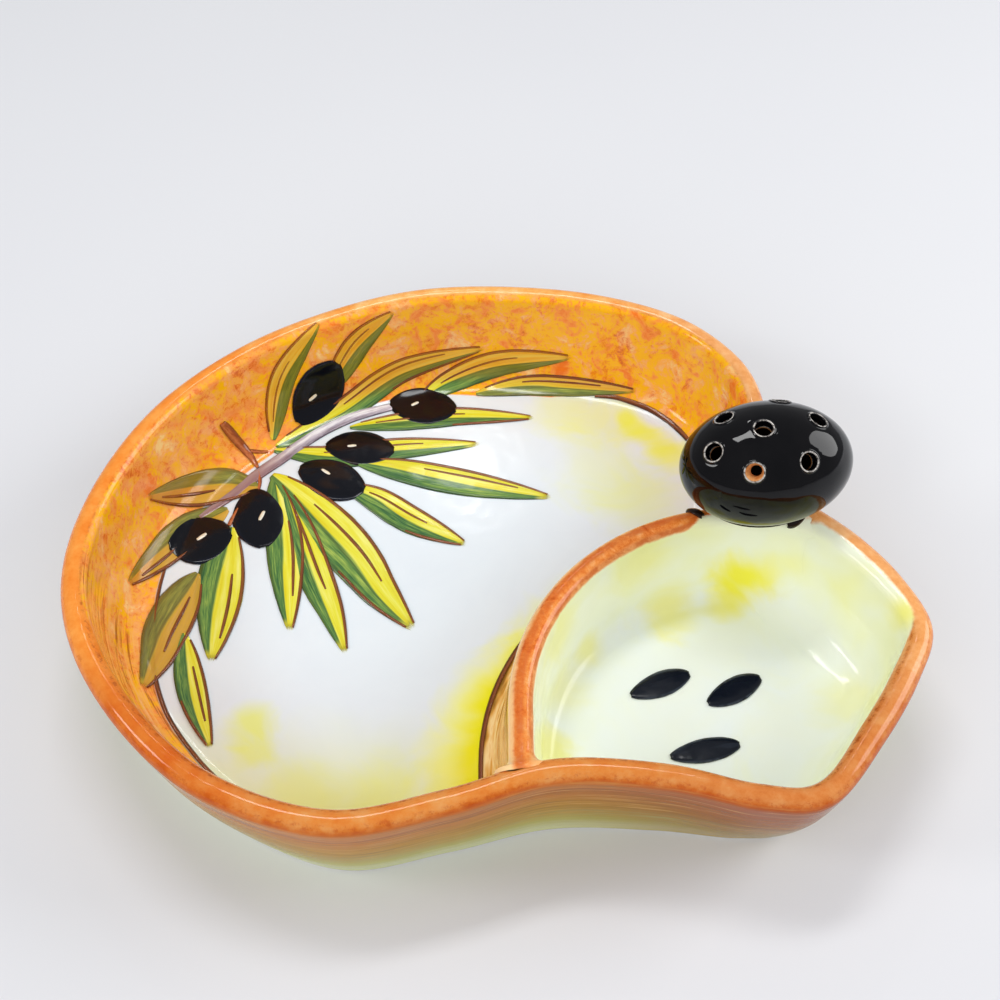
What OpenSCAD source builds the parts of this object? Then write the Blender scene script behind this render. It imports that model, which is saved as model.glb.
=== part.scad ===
// Two-bowl glazed dish for olives: a large bowl, a small bowl for the pits, the wall between them
// and a hollow olive on the rim whose drilled holes hold cocktail sticks.
// Millimetres. The dish stands on z = 0 and the origin is the middle of its outline.
// The large bowl is on the left and the small one at the front right.

/* [Overall size] */
// Left to right, over the outsides of the rim
dish_length = 232; // [160:1:320]
// Front to back, over the outsides of the rim
dish_width = 192; // [130:1:260]
// Table to the top of the rim
rim_height = 38; // [25:0.5:55]

/* [Wall of the dish] */
// Thickness of the cast wall between rim and floor
wall_thickness = 5; // [3.5:0.1:8]
// Radius of the rounded roll along the rim
bead_radius = 3.6; // [2.5:0.1:5]
// How far the roll turns under on each side of the wall, in degrees
bead_wrap = 30; // [10:5:40]
// How far the wall stands back under the roll
neck_inset = 1.5; // [0.5:0.1:3]
// Top of the rim down to where the roll meets the wall
neck_drop = 7.2; // [5:0.1:10]
// How far the foot stands back from the outside of the rim
foot_inset = 10.5; // [6:0.5:16]
// Rounding of the outer edge of the foot
foot_rounding = 1.2; // [0.5:0.1:3]
// How strongly the outside bellies, 1 being a straight slope
belly_power = 1.5; // [1:0.05:2.5]

/* [Floor] */
// Table to the upper side of the floor
floor_height = 6; // [4:0.5:10]
// Radius of the hollow curve between floor and wall
cove_radius = 9.5; // [5:0.5:14]
// Slope of the wall where that curve starts, in degrees from upright
cove_lean = 17; // [5:1:30]
// Width of the unglazed ring that the dish stands on
foot_ring_width = 5; // [3:0.5:8]
// Depth of the recess inside that ring
foot_recess = 1.5; // [0.5:0.1:2.5]

/* [Wall between the bowls] */
// Table to the top of the wall between the bowls
divider_height = 37; // [25:0.5:50]
// Width of its rounded top
divider_crest_width = 6.6; // [4:0.1:10]
// Width just above the curves at its foot
divider_base_width = 11.5; // [8:0.5:18]
// Radius of the hollow curves along its foot
divider_cove_radius = 5.5; // [3:0.5:9]
// Slope of its sides where those curves end, in degrees from upright
divider_lean = 10; // [2:1:20]
// Radius of its quarter turn, at the middle of the crest
divider_turn_radius = 62; // [40:1:90]
// How far its crest passes in front of the middle of the olive
divider_olive_offset = 4.7; // [2:0.1:8]
// End of the quarter turn, short of the middle of the olive
divider_turn_short = 4.9; // [0:0.1:10]
// End of the wall in the rim, past the middle of the olive
divider_past_olive = 12.6; // [9:0.1:15]

/* [Olive for the sticks] */
// Length of the olive
olive_length = 47.4; // [35:0.2:60]
// Thickness of the olive
olive_diameter = 34.2; // [26:0.2:44]
// Thickness of its clay wall
olive_wall = 3.5; // [2.5:0.1:5]
// Table to the middle of the olive
olive_height = 52; // [40:0.5:65]
// Middle of the olive, inwards from the notch where the two bowls meet at the back
olive_inset = 8.4; // [5:0.1:12]
// Middle of the olive, along the rim from that notch towards the small bowl
olive_slide = 1.4; // [-3:0.1:5]
// Turn of the olive's long axis, in degrees
olive_turn = 7; // [-20:1:30]
// Thickness of its flat underside
olive_floor = 3; // [2:0.1:5]
// Diameter of the drilled holes
hole_diameter = 4.5; // [3:0.1:6]

/* [Slip bed under the olive] */
// Thickness of the slip between the rim and the olive
bed_thickness = 0.8; // [0.5:0.1:1.5]
// How far the slip stands out past the olive, all round its underside
bed_spread = 0.6; // [0.3:0.1:1.5]

/* [Outline of the rim] */
// Points that the rim's outer edge passes through: right and back as shares of half the length and
// half the width, then how strongly the wall leans in there, 1 being the usual slope
rim_shares = [
    [1.000, -0.375, 1.00],
    [0.957, -0.208, 1.12],
    [0.879, -0.063, 1.20],
    [0.793, 0.042, 1.15],
    [0.703, 0.125, 1.00],
    [0.677, 0.271, 1.00],
    [0.698, 0.458, 1.00],
    [0.655, 0.656, 0.95],
    [0.517, 0.844, 0.95],
    [0.302, 0.958, 1.00],
    [0.043, 1.002, 1.00],
    [-0.207, 0.984, 1.00],
    [-0.440, 0.885, 1.00],
    [-0.664, 0.714, 1.00],
    [-0.853, 0.464, 1.00],
    [-0.966, 0.156, 1.00],
    [-1.000, -0.156, 1.00],
    [-0.940, -0.438, 1.00],
    [-0.793, -0.703, 1.00],
    [-0.595, -0.901, 1.00],
    [-0.336, -1.000, 1.00],
    [-0.086, -0.943, 1.00],
    [0.138, -0.856, 1.00],
    [0.371, -0.870, 1.00],
    [0.569, -0.927, 1.00],
    [0.716, -0.911, 0.95],
    [0.849, -0.724, 1.00],
    [0.948, -0.536, 1.00]
];
// How much further out the foot stands at each of these points, as a share of its usual setback
foot_shares = [
    0, 0, 0, 0, 0, 0, 0, 0, 0, 0,
    0, 0, 0, 0, 0, 0, 0, 0, -0.10, -0.06,
    0.18, 0.24, 0.44, 0.33, -0.05, -0.33, -0.15, 0
];

/* [Holes of the olive] */
// Where each hole is drilled: along the olive and across it, as shares of half its length and
// half its thickness, all on its upper side
hole_shares = [
    [-0.14, -0.12],
    [0.53, 0.08],
    [-0.70, -0.24],
    [0.31, -0.64],
    [-0.31, -0.70],
    [-0.50, 0.34],
    [0.20, 0.62]
];

/* [Fineness] */
// Stations between two points of the outline
station_steps = 4; // [2:1:6]
// Steps on the straight parts of the wall's section
wall_steps = 4; // [2:1:8]
// Steps round the roll of the rim
bead_steps = 8; // [8:4:16]
// Steps on the hollow curves
cove_steps = 5; // [3:1:10]
// Facets of round parts
round_facets = 64; // [24:8:96]
// The node to build, or all of them

/* [Hidden] */
clay = [0.86, 0.55, 0.30];
clay_pale = [0.90, 0.66, 0.42];
glaze_black = [0.05, 0.05, 0.06];
slip_dark = [0.13, 0.09, 0.07];
point_count = len(rim_shares);
station_count = point_count * station_steps;

// Smooth closed line through a list of points, the last one leading back to the first
function wrapped(list, i) = list[(i + len(list)) % len(list)];
function line_at(a, b, c, d, t) =
    (2 * b + (c - a) * t + (2 * a - 5 * b + 4 * c - d) * t * t + (3 * b - a - 3 * c + d) * t * t * t) / 2;
function smooth_line(list) = [
    for (i = [0 : len(list) - 1])
        for (k = [0 : station_steps - 1])
            let (before = wrapped(list, i - 1), next = wrapped(list, i + 1), after = wrapped(list, i + 2))
            line_at(before, list[i], next, after, k / station_steps)
];
function unit(v) = v / norm(v);

// The outline in shares, then stretched so that the finished rim has the length and width named
share_line = smooth_line([for (p = rim_shares) [p.x, p.y]]);
share_low = [min([for (p = share_line) p.x]), min([for (p = share_line) p.y])];
share_high = [max([for (p = share_line) p.x]), max([for (p = share_line) p.y])];
share_middle = (share_low + share_high) / 2;
stretch = [dish_length / (share_high.x - share_low.x), dish_width / (share_high.y - share_low.y)];
rim_points = [
    for (p = rim_shares) [(p.x - share_middle.x) * stretch.x, (p.y - share_middle.y) * stretch.y]
];
rim_line = smooth_line(rim_points);

// Direction in which the wall leans inwards at each station
function square_to(v) = unit([-v.y, v.x]);
function softened(list) = [
    for (i = [0 : len(list) - 1]) unit(wrapped(list, i - 1) + 2 * list[i] + wrapped(list, i + 1))
];
rough_inward = [
    for (i = [0 : point_count - 1]) square_to(wrapped(rim_points, i + 1) - wrapped(rim_points, i - 1))
];
inward = softened(softened(rough_inward));
lean_line = smooth_line([for (i = [0 : point_count - 1]) inward[i] * rim_shares[i].z]);

// A point of the wall at a station: how far in it lies there, and the height
foot_line = smooth_line(foot_shares);
wall_top = rim_height - neck_drop;
function setback(z) = (foot_inset - neck_inset) * pow(1 - min(z / wall_top, 1), belly_power);
function station(i, inset, z) =
    let (inwards = inset - foot_line[i] * setback(z))
    [rim_line[i].x + lean_line[i].x * inwards, rim_line[i].y + lean_line[i].y * inwards, z];

// Places that follow the notch: the olive, and the centre of the divider's quarter turn
notch_point = 4;
notch_along = [-inward[notch_point].y, inward[notch_point].x];
olive_place = rim_points[notch_point] + olive_inset * inward[notch_point] + olive_slide * notch_along;
turn_place = olive_place - [divider_turn_short, divider_olive_offset + divider_turn_radius];

// Section of the wall: how far in from the rim's outside, and the height
function outer_inset(z) = neck_inset + setback(z);
function arc_points(across, up, radius, from, to, steps) = [
    for (k = [0 : steps])
        let (a = from + (to - from) * k / steps)
        [across + radius * cos(a), up + radius * sin(a)]
];
cove_start = floor_height + cove_radius * (1 - sin(cove_lean));
cove_across = outer_inset(cove_start) + wall_thickness + cove_radius * cos(cove_lean);
bead_up = rim_height - bead_radius;
foot_across = outer_inset(foot_rounding) + foot_rounding;
foot_profile = arc_points(foot_across, foot_rounding, foot_rounding, 270, 180, 2);
outside_profile = [
    for (k = [1 : wall_steps])
        let (z = foot_rounding + (wall_top - foot_rounding) * k / wall_steps)
        [outer_inset(z), z]
];
bead_profile = arc_points(bead_radius, bead_up, bead_radius, 180 + bead_wrap, -bead_wrap, bead_steps);
bead_inner_profile = [for (p = bead_profile) if (p.x > bead_radius) p];
inside_profile = [
    for (k = [0 : wall_steps - 1])
        let (z = wall_top - (wall_top - cove_start) * k / wall_steps)
        [outer_inset(z) + wall_thickness, z]
];
cove_up = floor_height + cove_radius;
cove_profile = arc_points(cove_across, cove_up, cove_radius, 180 + cove_lean, 270, cove_steps);
dish_profile = concat(foot_profile, outside_profile, bead_profile, inside_profile, cove_profile);
down_profile = concat([[bead_radius, rim_height]], bead_inner_profile, inside_profile, cove_profile);
bowl_profile = [for (k = [len(down_profile) - 1 : -1 : 0]) down_profile[k]];

// A point from which the whole outline can be seen, where the triangles of the flat ends meet
hub_shares = [0.04, -0.16];
hub = [hub_shares.x * dish_length, hub_shares.y * dish_width];

// Closed body that follows the outline all the way round, with flat ends below and above
module round_body(profile) {
    rings = len(profile);
    skin = [for (p = profile) for (i = [0 : station_count - 1]) station(i, p.x, p.y)];
    low_hub = len(skin);
    high_hub = low_hub + 1;
    points = concat(skin, [[hub.x, hub.y, profile[0].y], [hub.x, hub.y, profile[rings - 1].y]]);
    function at(ring, i) = ring * station_count + (i % station_count);
    sides = [
        for (r = [0 : rings - 2])
            for (i = [0 : station_count - 1])
                for (corner = [[at(r + 1, i + 1), at(r, i + 1)], [at(r + 1, i), at(r + 1, i + 1)]])
                    [at(r, i), corner[0], corner[1]]
    ];
    low_end = [for (i = [0 : station_count - 1]) [low_hub, at(0, i), at(0, i + 1)]];
    high_end = [for (i = [0 : station_count - 1]) [high_hub, at(rings - 1, i + 1), at(rings - 1, i)]];
    polyhedron(points = points, faces = concat(sides, low_end, high_end));
}

// The upper part of the wall between two stations, used to cut the slip bed to the rim
first_cut = (notch_point - 2) * station_steps;
last_cut = (notch_point + 4) * station_steps;
module rim_run() {
    below_bead = [outside_profile[wall_steps - 2], outside_profile[wall_steps - 1]];
    section = concat(below_bead, bead_profile, [inside_profile[0], inside_profile[1]]);
    edge = len(section);
    runs = last_cut - first_cut;
    middle = [(section[1].x + section[edge - 2].x) / 2, section[1].y];
    skin = [for (i = [first_cut : last_cut]) for (p = section) station(i, p.x, p.y)];
    near_hub = len(skin);
    far_hub = near_hub + 1;
    points = concat(skin, [station(first_cut, middle.x, middle.y), station(last_cut, middle.x, middle.y)]);
    function at(i, k) = i * edge + (k % edge);
    sides = [
        for (i = [0 : runs - 1])
            for (k = [0 : edge - 1])
                for (corner = [[at(i + 1, k + 1), at(i + 1, k)], [at(i, k + 1), at(i + 1, k + 1)]])
                    [at(i, k), corner[0], corner[1]]
    ];
    near_end = [for (k = [0 : edge - 1]) [near_hub, at(0, k + 1), at(0, k)]];
    far_end = [for (k = [0 : edge - 1]) [far_hub, at(runs, k), at(runs, k + 1)]];
    polyhedron(points = points, faces = concat(sides, near_end, far_end));
}

// Cast tray: floor, outer wall, rolled rim and foot ring in one casting
module dish_body() {
    color(clay)
    difference() {
        round_body(dish_profile);
        translate([0, 0, -foot_recess])
        linear_extrude(height = 2 * foot_recess)
        polygon([
            for (i = [0 : station_count - 1])
                let (p = station(i, foot_profile[0].x + foot_ring_width, 0))
                [p.x, p.y]
        ]);
    }
}

// Section of the wall between the bowls, its middle on x = 0
crest_radius = divider_crest_width / 2;
crest_start = divider_lean / 2;
module divider_section() {
    cove_side = divider_base_width / 2 + divider_cove_radius;
    cove_middle = floor_height + divider_cove_radius;
    crest_middle = divider_height - crest_radius;
    half = arc_points(cove_side, cove_middle, divider_cove_radius, 270, 180 + divider_lean, cove_steps);
    crest = arc_points(0, crest_middle, crest_radius, crest_start, 180 - crest_start, 2 * cove_steps);
    mirrored = [for (k = [len(half) - 1 : -1 : 0]) [-half[k].x, half[k].y]];
    polygon(concat(half, crest, mirrored));
}

// Straight run, quarter turn and straight run of the wall between the bowls
module divider_path() {
    translate([turn_place.x, turn_place.y, 0])
    union() {
        rotate_extrude(angle = 90, start = 90, $fn = 4 * round_facets)
        translate([divider_turn_radius, 0])
        divider_section();
        translate([-divider_turn_radius, 0, 0])
        rotate([90, 0, 0])
        linear_extrude(height = dish_width / 2 + turn_place.y)
        divider_section();
        translate([0, divider_turn_radius, 0])
        rotate([90, 0, 90])
        linear_extrude(height = divider_turn_short + divider_past_olive)
        divider_section();
    }
}

// Wall between the bowls, luted into the tray and cut to its floor and walls
module divider_wall() {
    color(clay_pale)
    intersection() {
        divider_path();
        round_body(bowl_profile);
    }
}

// Hollow olive with its underside cut flat and seven drilled holes for sticks
half_olive = [olive_length / 2, olive_diameter / 2];
olive_flat = rim_height + bed_thickness;
module olive_shape(shrink) {
    scale([(half_olive.x - shrink) / half_olive.y, (half_olive.y - shrink) / half_olive.y,
        (half_olive.y - shrink) / half_olive.y])
    sphere(d = olive_diameter, $fn = round_facets);
}
module above(z) {
    translate([-olive_length, -olive_length, z - olive_height])
    cube([2 * olive_length, 2 * olive_length, 2 * olive_length]);
}
module stick_hole(share) {
    rise = sqrt(1 - share.x * share.x - share.y * share.y);
    outward = unit([share.x / half_olive.x, share.y / half_olive.y, rise / half_olive.y]);
    translate([share.x * half_olive.x, share.y * half_olive.y, rise * half_olive.y])
    rotate([0, acos(outward.z), atan2(outward.y, outward.x)])
    translate([0, 0, -2 * olive_wall])
    cylinder(h = 3 * olive_wall, d = hole_diameter, $fn = round_facets);
}
module pick_holder() {
    color(glaze_black)
    translate([olive_place.x, olive_place.y, olive_height])
    rotate([0, 0, olive_turn])
    difference() {
        intersection() {
            olive_shape(0);
            above(olive_flat);
        }
        intersection() {
            olive_shape(olive_wall);
            above(olive_flat + olive_floor);
        }
        for (share = hole_shares)
            stick_hole(share);
    }
}

// Bed of slip that joins the olive to the rims of both bowls and to the wall between them
module holder_joint() {
    color(slip_dark)
    difference() {
        translate([olive_place.x, olive_place.y, olive_height])
        rotate([0, 0, olive_turn])
        difference() {
            olive_shape(-bed_spread);
            above(olive_flat);
        }
        rim_run();
        divider_path();
    }
}

dish_body();
divider_wall();
pick_holder();
holder_joint();
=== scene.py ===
import math
import bpy
import numpy as np
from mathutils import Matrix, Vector
from mathutils.bvhtree import BVHTree
from mathutils.geometry import delaunay_2d_cdt


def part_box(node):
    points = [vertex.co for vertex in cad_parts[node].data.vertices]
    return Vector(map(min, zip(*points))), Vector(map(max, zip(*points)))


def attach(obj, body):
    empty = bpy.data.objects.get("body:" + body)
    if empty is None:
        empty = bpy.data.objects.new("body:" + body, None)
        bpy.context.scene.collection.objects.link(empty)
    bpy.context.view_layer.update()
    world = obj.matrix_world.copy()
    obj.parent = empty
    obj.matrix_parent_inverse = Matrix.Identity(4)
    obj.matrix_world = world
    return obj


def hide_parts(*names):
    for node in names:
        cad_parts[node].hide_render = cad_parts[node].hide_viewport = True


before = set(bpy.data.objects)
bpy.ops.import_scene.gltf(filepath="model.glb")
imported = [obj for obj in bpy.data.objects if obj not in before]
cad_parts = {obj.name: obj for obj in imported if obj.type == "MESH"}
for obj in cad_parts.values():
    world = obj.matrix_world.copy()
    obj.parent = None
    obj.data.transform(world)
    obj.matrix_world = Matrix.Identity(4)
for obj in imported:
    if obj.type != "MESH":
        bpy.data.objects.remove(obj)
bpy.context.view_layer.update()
mm = 0.001
scene = bpy.context.scene

# The camera comes first: the painting is laid on the dish from where it stands.
view = {
    "focalPixels": 1500,          # of a picture 1000 pixels wide
    "pictureSize": 1000,
    "sensor": 36.0,
    "elevation": 50.0,            # degrees above the table
    "distance": 466.58,           # mm from the point looked at
    "lookAt": (2.54, 37.29, 0.0),
}
tilt = math.radians(view["elevation"])
ahead = np.array((0, math.cos(tilt), -math.sin(tilt)))
upward = np.array((0, math.sin(tilt), math.cos(tilt)))


def makeCamera():
    data = bpy.data.cameras.new("camera")
    data.sensor_width = view["sensor"]
    data.lens = view["sensor"] * view["focalPixels"] / view["pictureSize"]
    data.clip_start, data.clip_end = 0.01, 20
    camera = bpy.data.objects.new("camera", data)
    scene.collection.objects.link(camera)
    camera.location = (Vector(view["lookAt"]) - Vector(ahead) * view["distance"]) * mm
    camera.rotation_euler = (math.radians(90) - tilt, 0, 0)
    scene.camera = camera
    return camera


camera = makeCamera()
eye = np.array(camera.location) / mm
print("camera set")


def fromPicture(pixel, height):
    # place in mm, at a height above the table, that the camera sees at a pixel of the picture
    across, down = (value - view["pictureSize"] / 2 for value in pixel)
    ray = ahead * view["focalPixels"] + np.array((across, 0, 0)) - upward * down
    return eye + ray * (height - eye[2]) / ray[2]


def addPiece(name, points, faces, edges=(), facts=None):
    # an object from points in m; facts are numbers kept at each point for its material or its brush
    mesh = bpy.data.meshes.new(name)
    mesh.from_pydata([tuple(point) for point in points], edges, faces)
    if faces:
        mesh.validate()
        mesh.shade_smooth()
    for fact, numbers in (facts or {}).items():
        mesh.attributes.new(fact, "FLOAT", "POINT").data.foreach_set("value", numbers)
    piece = bpy.data.objects.new(name, mesh)
    scene.collection.objects.link(piece)
    return piece


def gridFaces(rows, closed=True):
    # quads between neighbouring rows of point numbers
    faces = []
    for low, high in zip(rows, rows[1:]):
        corners = (low, np.roll(low, -1), np.roll(high, -1), high)
        faces += list(zip(*(corner.tolist() for corner in corners)))[:None if closed else -1]
    return faces


def fan(centre, ring, flip=False):
    # triangles from one point to a closed ring of them
    pairs = zip(ring.tolist(), np.roll(ring, -1).tolist())
    return [(centre, a, b) if flip else (centre, b, a) for a, b in pairs]


def length(rows):
    return np.linalg.norm(rows, axis=-1)


def unitRows(rows):
    return rows / length(rows)[:, None]


def curveAt(a, b, c, d, t):
    # the smooth curve from b to c, with a before it and d after it
    return (2 * b + (c - a) * t + (2 * a - 5 * b + 4 * c - d) * t ** 2 + (3 * b - a - 3 * c + d) * t ** 3) / 2


def smoothLine(points, per):
    # closed line through the points, with a curve between each two of them
    a, b, c, d = (np.roll(points, shift, axis=0)[:, None, :] for shift in (1, 0, -1, -2))
    return curveAt(a, b, c, d, (np.arange(per) / per)[None, :, None]).reshape(-1, points.shape[1])


# The dish, in mm. Its outline is the CAD outline, made of the same shares.
dish = {
    "rimHeight": 38.0, "wall": 5.0, "beadRadius": 3.6, "beadWrap": 30.0, "neckInset": 1.5, "neckDrop": 7.2,
    "footInset": 10.5, "footRounding": 1.2, "bellyPower": 1.5, "floorHeight": 6.0, "coveRadius": 9.5,
    "coveLean": 17.0, "footRing": 5.0, "footRecess": 1.5, "hubShares": (0.04, -0.16),
    "perSpan": 14, "floorSteps": 10,
    "wobble": 0.22,               # unevenness of the hand-finished rim
    "wobbleFrom": 8, "wobbleRise": 20,
    # turns of smoothing where the glaze fills the hollows under the bead, and how many of them both hollows get
    "softening": 70, "bothSoftened": 27, "softestFrom": 20, "softEdge": 3,
    # at each point of the rim: right and back as shares of half the size, then the lean of the wall
    "rim": (
        (1.0, -0.375, 1.0), (0.957, -0.208, 1.12), (0.879, -0.063, 1.2), (0.793, 0.042, 1.15),
        (0.703, 0.125, 1.0), (0.677, 0.271, 1.0), (0.698, 0.458, 1.0), (0.655, 0.656, 0.95),
        (0.517, 0.844, 0.95), (0.302, 0.958, 1.0), (0.043, 1.002, 1.0), (-0.207, 0.984, 1.0),
        (-0.44, 0.885, 1.0), (-0.664, 0.714, 1.0), (-0.853, 0.464, 1.0), (-0.966, 0.156, 1.0),
        (-1.0, -0.156, 1.0), (-0.94, -0.438, 1.0), (-0.793, -0.703, 1.0), (-0.595, -0.901, 1.0),
        (-0.336, -1.0, 1.0), (-0.086, -0.943, 1.0), (0.138, -0.856, 1.0), (0.371, -0.87, 1.0),
        (0.569, -0.927, 1.0), (0.716, -0.911, 0.95), (0.849, -0.724, 1.0), (0.948, -0.536, 1.0)),
    # how much further out the foot stands there, as a share of its usual setback
    "foot": (0,) * 18 + (-0.1, -0.06, 0.18, 0.24, 0.44, 0.33, -0.05, -0.33, -0.15, 0),
    # where the orange paint of the inside ends: a station of the rim line and a paint band
    "paintEdge": ((0, 2.82), (99, 2.865), (112, 2.832), (121, 2.82), (132, 2.97), (145, 3.0), (152, 2.95),
                  (160, 2.91), (169, 2.88), (177, 2.91), (185, 2.96), (191, 2.97), (200, 2.92), (208, 2.88),
                  (214, 2.93), (223, 2.99), (230, 2.966), (238, 2.93), (245, 2.87), (255, 2.835), (270, 2.83),
                  (391, 2.82)),
}
dishLow, dishHigh = (np.array(corner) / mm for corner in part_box("dish_body"))
dishSpan = (dishHigh - dishLow)[:2]
hub = np.array(dish["hubShares"]) * dishSpan
rim = np.array(dish["rim"])
coarse = smoothLine(rim[:, :2], 4)
stretch = dishSpan / (coarse.max(0) - coarse.min(0))
rimPoints = (rim[:, :2] - (coarse.max(0) + coarse.min(0)) / 2) * stretch
chords = np.roll(rimPoints, -1, axis=0) - np.roll(rimPoints, 1, axis=0)
inward = unitRows(np.stack((-chords[:, 1], chords[:, 0]), axis=1))
for _ in range(2):
    inward = unitRows(np.roll(inward, 1, axis=0) + 2 * inward + np.roll(inward, -1, axis=0))
rimLine, leanLine, footLine = (smoothLine(points, dish["perSpan"]) for points in (
    rimPoints, inward * rim[:, 2:], np.array(dish["foot"], float)[:, None]))
stations = len(rimLine)
paintEdge = np.interp(np.arange(stations), *zip(*dish["paintEdge"]))
steps = length(np.roll(rimLine, -1, axis=0) - rimLine)
alongRim = np.concatenate(([0], np.cumsum(steps)[:-1]))   # mm round the rim at each station
neckUp, beadUp = (dish["rimHeight"] - dish[drop] for drop in ("neckDrop", "beadRadius"))


def setback(z):
    # how far the wall has come in at a height below the bead
    return (dish["footInset"] - dish["neckInset"]) * np.clip(1 - z / neckUp, 0, 1) ** dish["bellyPower"]


def outerInset(z):
    return dish["neckInset"] + setback(z)


coveTurn = math.radians(dish["coveLean"])
coveStart = dish["floorHeight"] + dish["coveRadius"] * (1 - math.sin(coveTurn))
coveAcross = outerInset(coveStart) + dish["wall"] + dish["coveRadius"] * math.cos(coveTurn)


def arc(across, up, radius, start, end, count):
    angles = np.radians(np.linspace(start, end, count))
    return [(across + radius * math.cos(a), up + radius * math.sin(a)) for a in angles]


def dishSection():
    # rows of how far in from the rim, height and paint band
    # bands: 0 to 1 outside, 1 to 2 bead, 2 to 3 inside wall, 3 to 4 floor
    d = dish
    foot = outerInset(d["footRounding"]) + d["footRounding"]
    ring, recess = foot + d["footRing"], d["footRecess"]
    rows = []

    def add(points, fromBand, toBand):
        for k, (inset, z) in enumerate(points):
            rows.append((inset, z, fromBand + (toBand - fromBand) * k / max(1, len(points) - 1)))

    add([(ring + 0.5, recess), (ring + 0.15, recess - 0.1)], -1.0, -0.9)
    add([(ring, recess - 0.5), (ring, 0.3), (ring - 0.3, 0.0)], -0.8, -0.7)
    add([(ring - 2.0, 0.0), (foot + 1.0, 0.0)], -0.5, -0.3)
    add(arc(foot, d["footRounding"], d["footRounding"], 270, 190, 6), -0.2, 0.0)
    add([(outerInset(z), z) for z in np.linspace(d["footRounding"], neckUp, 16)], 0.02, 0.97)
    add(arc(d["beadRadius"], beadUp, d["beadRadius"], 180 + d["beadWrap"], -d["beadWrap"], 19), 1.0, 2.0)
    add([(outerInset(z) + d["wall"], z) for z in np.linspace(neckUp, coveStart, 12)], 2.03, 2.6)
    add(arc(coveAcross, d["floorHeight"] + d["coveRadius"], d["coveRadius"], 180 + d["coveLean"], 270, 13)[1:],
        2.63, 3.0)
    return softened(rows)


def softened(rows):
    # the glaze fills the two hollows under the bead, the inner one more
    rows = np.array(rows)
    low, edge = dish["softestFrom"], dish["softEdge"]
    for turn in range(dish["softening"]):
        middle = (np.roll(rows[:, :2], 1, axis=0) + np.roll(rows[:, :2], -1, axis=0)) / 2
        inner = np.clip(rows[:, 2] - 1.5, 0, 0.5) * 2
        below, above = beadUp + inner * 1.5 - rows[:, 1], rows[:, 1] - low
        share = np.clip(below / edge, 0, 1) * np.clip(above / edge, 0, 1)
        share *= 1 if turn < dish["bothSoftened"] else inner
        rows[:, :2] += (middle - rows[:, :2]) * share[:, None] * 0.8
    return rows.tolist()


def ringAt(inset, z):
    plan = rimLine + leanLine * (inset - footLine * setback(z))
    return np.concatenate((plan, np.full((stations, 1), float(z))), axis=1)


def unevenness(angle, phase):
    return (np.sin(3 * angle + phase) + 0.6 * np.sin(7 * angle + 2.1 * phase)
            + 0.4 * np.sin(13 * angle + 0.7 * phase)) / 2


def makeTray():
    section = dishSection()
    low, high = section[0], section[-1]
    angle = alongRim / (alongRim[-1] + steps[-1]) * 2 * math.pi
    dip = (unevenness(angle, 0.4) - 1) * dish["wobble"] / 2
    lean = (unevenness(angle, 2.2) + 1) * dish["wobble"] / 2
    toHub = [k / (dish["floorSteps"] + 1) for k in range(1, dish["floorSteps"] + 1)]
    rows = [(*low[:2], -1.5, share) for share in toHub[::-1]]      # underside of the floor, from the middle out
    rows += [(*row, 0) for row in section]
    rows += [(*high[:2], 3 + share, share) for share in toHub]     # the floor, from the wall in
    rings = []
    for inset, z, _, share in rows:
        ring = ringAt(inset, z)
        part = min(1, max(0, (z - dish["wobbleFrom"]) / dish["wobbleRise"]))
        ring[:, 2] += dip * part
        ring[:, :2] += leanLine * (lean * part)[:, None]
        ring[:, :2] += (hub - ring[:, :2]) * share
        rings.append(ring)
    points = np.concatenate((*rings, [(*hub, low[1]), (*hub, high[1])])) * mm
    grid = np.arange(len(rings) * stations).reshape(-1, stations)
    faces = gridFaces(grid) + fan(grid.size, grid[0]) + fan(grid.size + 1, grid[-1], True)
    bands = np.repeat([row[2] for row in rows], stations)
    return addPiece("painted_tray", points, faces, facts={
        "band": np.concatenate((bands, [-1.5, 4.0])),
        "around": np.append(np.tile(alongRim, len(rings)), [0, 0]),
        "edge": np.append(np.tile(paintEdge, len(rings)), [3, 3])})


tray = makeTray()
print("tray made:", len(tray.data.polygons), "faces")

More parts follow.
